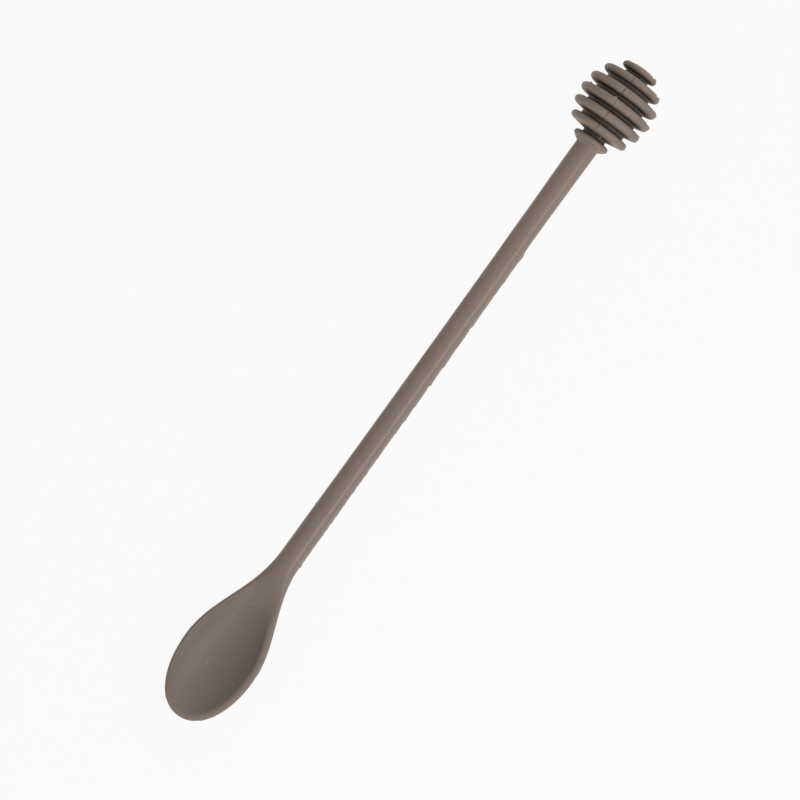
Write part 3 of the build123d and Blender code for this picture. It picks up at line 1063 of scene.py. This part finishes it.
@dataclass(frozen=True)
class SiliconeMoulding:
    """The one silicone moulding: spoon, handle and head as a single closed skin."""

    spoon: SpoonBowl
    handle: Handle
    head: DipperHead
    traces: MouldTraces
    finish: SatinSilicone

    def build(self) -> bpy.types.Object:
        """Builds the skin, which stands for the three silicone solids."""
        stretches = (self.spoon, self.handle, self.head)
        halves = np.concatenate([stretch.half_rows() for stretch in stretches])
        mirrored = halves[:, -2:0:-1] * np.array([1.0, -1.0, 1.0])
        loops = np.concatenate([halves, mirrored], axis=1)
        layers = {HOLLOW_PAINTED_SHADE: self.spoon.hollow_painted_shade(loops), GRAIN: self.traces.grain.at(loops[..., 0])}
        loops, layers[TONE] = self.traces.leave_on(loops, self.head)
        loops[..., 2] += AXIS_HEIGHT
        return self.skin(loops * MM, layers)

    def skin(self, loops: Array, layers: dict[str, Array]) -> bpy.types.Object:
        """Joins rows of points into one closed mesh.

        Args:
            loops: Points in metres, by row, place round the row, and axis.
            layers: What the material reads at each point, by name.

        Returns:
            The new object.
        """
        rows, around = loops.shape[:2]
        half = around // 2
        index = np.arange(rows * around).reshape(rows, around)
        index[0, half + 1 :] = index[0, 1:half][::-1]
        index[-1, :] = index[-1, 0]
        used, compact = np.unique(index, return_inverse=True)
        index = compact.reshape(rows, around)
        beside = np.roll(index, -1, axis=1)
        corners = np.stack([index[:-1], index[1:], beside[1:], beside[:-1]], axis=-1).reshape(-1, 4)
        faces = []
        for quad in corners.tolist():
            face = [v for place, v in enumerate(quad) if v != quad[place - 1]]
            if len(face) > 2:
                faces.append(face)
        mesh = bpy.data.meshes.new("silicone_moulding")
        mesh.from_pydata(loops.reshape(-1, 3)[used].tolist(), [], faces)
        for name, values in layers.items():
            layer = mesh.attributes.new(name, "FLOAT", "POINT")
            layer.data.foreach_set("value", values.reshape(-1)[used])
        mesh.update()
        mesh.materials.append(self.finish.build())
        mesh.polygons.foreach_set("use_smooth", np.ones(len(mesh.polygons), bool))
        piece = put_in_scene("silicone_moulding", mesh)
        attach(piece, "root")
        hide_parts("dipper_head", "handle_sleeve", "spoon_bowl")
        log.info("%s: %d rows of %d points, %d faces", piece.name, rows, around, len(faces))
        return piece


@dataclass(frozen=True)
class Studio:
    """The pale floor, the lamps and the camera over them."""

    head_touch: Pair = (109.96, 0.0)
    keel_touch: Pair = (-101.0, 5.3)
    camera_distance: float = 0.87
    photo_middle: Pair = (-3.7, 1.21)
    frame_width: float = 0.2509
    paper_glow: float = 0.93
    paper_bounce: float = 0.55
    fill_base: float = 0.3276
    fill_slope: float = 0.2964
    fill_ends: float = 1.248
    fill_side: Point = (0.2, -0.85, 0.3)
    key_place: Point = (-0.22, -0.56, 0.475)
    key_colour: str = "#f0f6ff"
    key_length: float = 0.8
    key_width: float = 0.14
    key_power: float = 2.25
    axis_turn: float = radians(54.228)
    floor_half: float = 4.0
    view_end: float = 20.0

    def tilt(self) -> float:
        """How far the floor rises towards the spoon, in radians."""
        rise = self.keel_touch[1] - self.head_touch[1]
        return float(np.arctan2(rise, self.head_touch[0] - self.keel_touch[0]))

    def build(self) -> None:
        """Adds the floor, the world, the lamps and the camera."""
        lean = Matrix.Rotation(self.tilt(), 4, "Y")
        up = lean @ Vector((0, 0, 1))
        self.add_floor(lean)
        self.add_world()
        self.add_lamp()
        self.add_camera(up)

    def add_floor(self, lean: Matrix) -> None:
        """A plain white sweep that the tool rests on."""
        half = self.floor_half
        mesh = bpy.data.meshes.new("floor")
        corners = [(-half, -half, 0), (half, -half, 0), (half, half, 0), (-half, half, 0)]
        mesh.from_pydata(corners, [], [(0, 1, 2, 3)])
        floor = put_in_scene("floor", mesh)
        anchor = Matrix.Translation(Vector((self.head_touch[0], 0, self.head_touch[1])) * MM)
        floor.matrix_world = anchor @ lean
        material = new_material("studio_paper_matt")
        tree = material.node_tree
        share = calculate(tree, "MULTIPLY", self.seen(tree), self.paper_glow)
        paper = add_node(tree, "BsdfDiffuse", {"Color": (self.paper_bounce,) * 3 + (1,)})
        glow = add_node(tree, "Emission", {"Color": WHITE, "Strength": 1.0})
        inputs = {0: share, 1: paper.outputs[0], 2: glow.outputs[0]}
        mixed = add_node(tree, "MixShader", inputs)
        add_node(tree, "OutputMaterial", {"Surface": mixed.outputs[0]})
        mesh.materials.append(material)

    def add_world(self) -> None:
        """Soft light from all round, stronger from the window's side and the tool's ends.

        The camera sees plain white behind everything.
        """
        world = bpy.data.worlds.new("studio_air")
        bpy.context.scene.world = world
        world.use_nodes = True
        tree = world.node_tree
        tree.nodes.clear()
        direction = add_node(tree, "TexCoord").outputs["Generated"]
        sides = {0: direction, 1: Vector(self.fill_side).normalized()}
        towards = add_node(tree, "VectorMath", sides, operation="DOT_PRODUCT").outputs["Value"]
        along = add_node(tree, "SeparateXYZ", {0: direction}).outputs["X"]
        ends = calculate(tree, "MULTIPLY", along, along)
        level = calculate(tree, "MULTIPLY_ADD", ends, self.fill_ends, self.fill_base)
        level = calculate(tree, "MULTIPLY_ADD", towards, self.fill_slope, level)
        fill = add_node(tree, "Background", {"Color": WHITE, "Strength": level})
        white = add_node(tree, "Background", {"Color": WHITE, "Strength": 1.0})
        inputs = {0: self.seen(tree), 1: fill.outputs[0], 2: white.outputs[0]}
        mixed = add_node(tree, "MixShader", inputs)
        add_node(tree, "OutputWorld", {"Surface": mixed.outputs[0]})

    def seen(self, tree: Tree) -> Socket:
        """1 where the camera sees a surface, also in a reflection or through glass, and 0 elsewhere."""
        path = add_node(tree, "LightPath").outputs
        total = calculate(tree, "ADD", path["Is Camera Ray"], path["Is Glossy Ray"], clamp=True)
        return calculate(tree, "ADD", total, path["Is Transmission Ray"], clamp=True)

    def add_lamp(self) -> None:
        """The key: a strip softbox that lies along the tool and faces it."""
        lamp = bpy.data.lights.new("key_softbox", "AREA")
        lamp.shape = "RECTANGLE"
        lamp.size = self.key_length
        lamp.size_y = self.key_width
        lamp.energy = self.key_power
        lamp.color = linear(self.key_colour)[:3]
        holder = put_in_scene("key_softbox", lamp)
        holder.location = Vector(self.key_place)
        facing = Vector((0, *self.key_place[1:])).to_track_quat("Z", "Y")
        holder.rotation_euler = facing.to_euler()

    def add_camera(self, up: Vector) -> None:
        """The camera over the tool, square to the floor, turned as the photograph is.

        Args:
            up: The floor's normal.
        """
        camera = bpy.data.cameras.new("camera")
        camera.lens = camera.sensor_width * self.camera_distance / self.frame_width
        camera.clip_end = self.view_end
        holder = put_in_scene("camera", camera)
        upward = Vector((sin(self.axis_turn), cos(self.axis_turn), 0))
        upward = (upward - up * upward.dot(up)).normalized()
        right = upward.cross(up).normalized()
        aim = Vector((self.photo_middle[0], self.photo_middle[1], AXIS_HEIGHT)) * MM
        turned = Matrix((right, upward, up)).transposed().to_4x4()
        holder.matrix_world = Matrix.Translation(aim + up * self.camera_distance) @ turned
        bpy.context.scene.camera = holder


def main() -> None:
    """Builds the moulding and the studio, and reports each piece."""
    logging.basicConfig(level=logging.INFO, format="%(name)s: %(message)s")
    bpy.context.scene.view_settings.view_transform = "Standard"
    columns = Columns()
    spoon = SpoonBowl(columns)
    head = DipperHead(columns)
    start_x, end_x = spoon.length - HALF_LENGTH, head.joint_x()
    handle = Handle(columns, start_x, end_x, spoon.neck_radius, head.handle_radius)
    SiliconeMoulding(spoon, handle, head, MouldTraces(), SatinSilicone()).build()
    SteelCore().dress()
    Studio().build()


if __name__ == "__main__":
    main()
